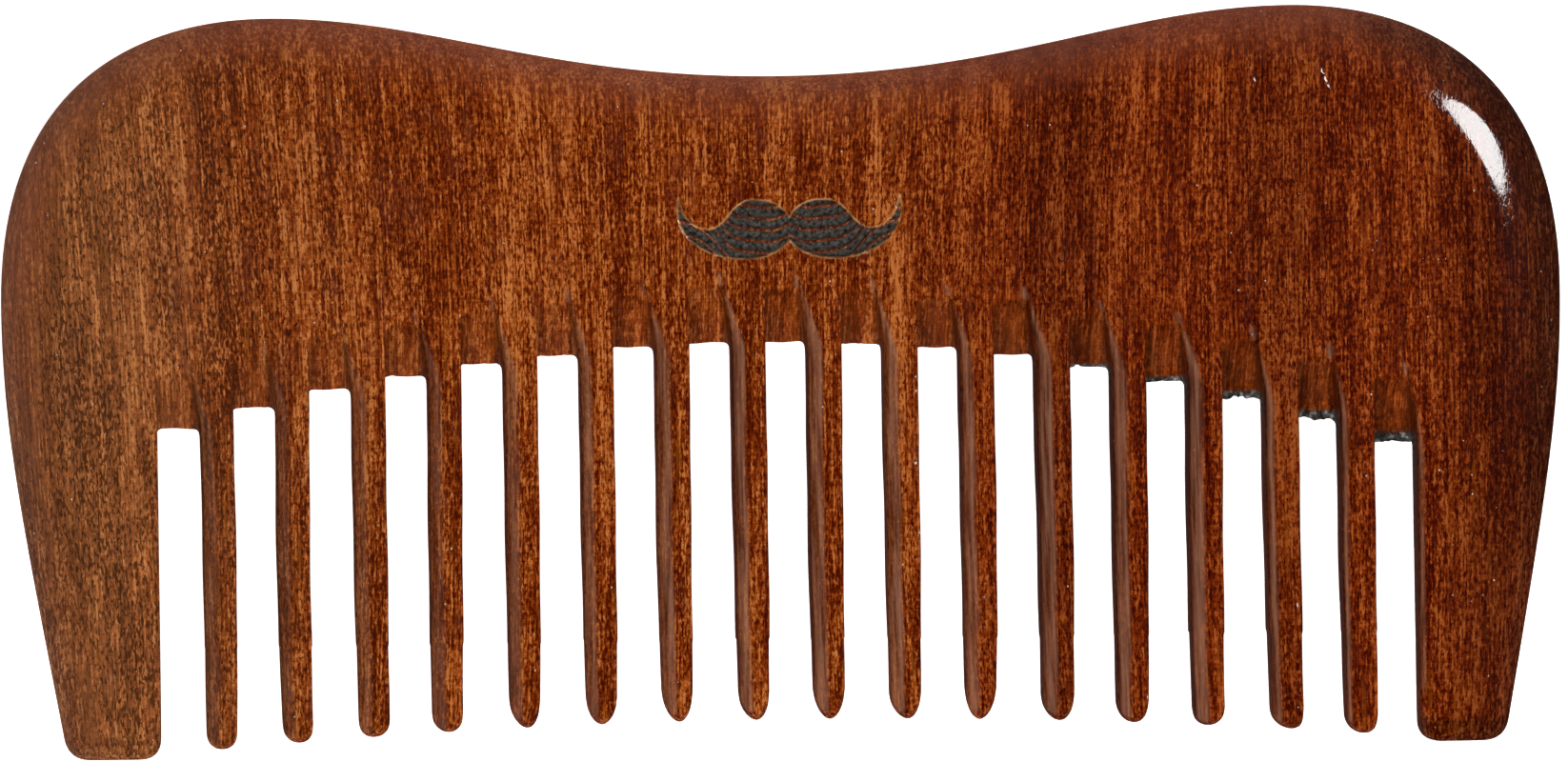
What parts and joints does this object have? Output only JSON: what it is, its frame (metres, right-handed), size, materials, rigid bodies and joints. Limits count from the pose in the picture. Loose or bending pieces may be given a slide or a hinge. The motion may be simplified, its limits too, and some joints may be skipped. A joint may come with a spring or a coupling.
{
  "type": "beard comb",
  "caption": "Flat wooden beard comb: a humped spine with an engraved ornament, a wide guard at each side and a row of long sawn teeth between them.",
  "frame": {"origin": "middle of the comb's footprint, on the plane of its flat back", "axes": "+X along the comb to the right as seen from the front, +Y from the teeth towards the spine, +Z out of the front face"},
  "size_m": [0.125, 0.0592, 0.009],
  "materials": {
    "spine": "clear gloss varnish over straight-grained reddish-brown wood",
    "left_guard": "clear gloss varnish over straight-grained reddish-brown wood",
    "right_guard": "clear gloss varnish over straight-grained reddish-brown wood",
    "tooth_01": "clear gloss varnish over straight-grained reddish-brown wood",
    "tooth_02": "clear gloss varnish over straight-grained reddish-brown wood",
    "tooth_03": "clear gloss varnish over straight-grained reddish-brown wood",
    "tooth_04": "clear gloss varnish over straight-grained reddish-brown wood",
    "tooth_05": "clear gloss varnish over straight-grained reddish-brown wood",
    "tooth_06": "clear gloss varnish over straight-grained reddish-brown wood",
    "tooth_07": "clear gloss varnish over straight-grained reddish-brown wood",
    "tooth_08": "clear gloss varnish over straight-grained reddish-brown wood",
    "tooth_09": "clear gloss varnish over straight-grained reddish-brown wood",
    "tooth_10": "clear gloss varnish over straight-grained reddish-brown wood",
    "tooth_11": "clear gloss varnish over straight-grained reddish-brown wood",
    "tooth_12": "clear gloss varnish over straight-grained reddish-brown wood",
    "tooth_13": "clear gloss varnish over straight-grained reddish-brown wood",
    "tooth_14": "clear gloss varnish over straight-grained reddish-brown wood",
    "tooth_15": "clear gloss varnish over straight-grained reddish-brown wood",
    "tooth_16": "clear gloss varnish over straight-grained reddish-brown wood"
  },
  "bodies": {
    "root": {"spine": "spine", "left_guard": "left_guard", "right_guard": "right_guard", "tooth_01": "tooth_01", "tooth_02": "tooth_02", "tooth_03": "tooth_03", "tooth_04": "tooth_04", "tooth_05": "tooth_05", "tooth_06": "tooth_06", "tooth_07": "tooth_07", "tooth_08": "tooth_08", "tooth_09": "tooth_09", "tooth_10": "tooth_10", "tooth_11": "tooth_11", "tooth_12": "tooth_12", "tooth_13": "tooth_13", "tooth_14": "tooth_14", "tooth_15": "tooth_15", "tooth_16": "tooth_16"}
  },
  "joints": []
}
